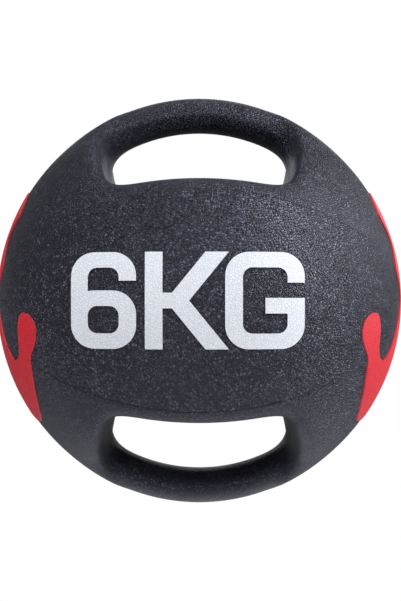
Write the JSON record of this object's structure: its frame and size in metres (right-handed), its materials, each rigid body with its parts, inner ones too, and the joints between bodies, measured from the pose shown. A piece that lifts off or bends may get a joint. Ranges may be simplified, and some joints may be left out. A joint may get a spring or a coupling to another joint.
{
  "type": "medicine ball",
  "caption": "Round black rubber medicine ball with a hand hole and an arched grip at top and bottom, white weight marks and red side patches.",
  "frame": {"origin": "centre of the ball", "axes": "+Z from the centre towards the middle of the upper grip; the front face, with the valve, looks towards -Y; +X is to the right seen from the front"},
  "size_m": [0.2816, 0.2812, 0.2828],
  "materials": {
    "coarse_rubber": "coarse leather-like grain, semi-matt",
    "fine_rubber": "fine grain, satin",
    "core_nylon": "moulded nylon",
    "ballast_rubber": "plain moulded",
    "winding_thread": "wound nylon thread",
    "bladder_rubber": "smooth butyl",
    "valve_rubber": "smooth moulded",
    "white_mark": "white rubber ink, matt",
    "red_mark": "red rubber ink, matt"
  },
  "bodies": {
    "root": {"front_face_cover": "coarse_rubber", "rear_face_cover": "coarse_rubber", "upper_handle_cover": "fine_rubber", "lower_handle_cover": "fine_rubber", "upper_grip_core": "core_nylon", "lower_grip_core": "core_nylon", "front_ballast_shell": "ballast_rubber", "rear_ballast_shell": "ballast_rubber", "nylon_winding": "winding_thread", "inner_bladder": "bladder_rubber", "valve_body": "valve_rubber", "valve_core": "valve_rubber", "front_weight_mark": "white_mark", "rear_weight_mark": "white_mark", "right_colour_splash": "red_mark", "left_colour_splash": "red_mark"}
  },
  "joints": []
}
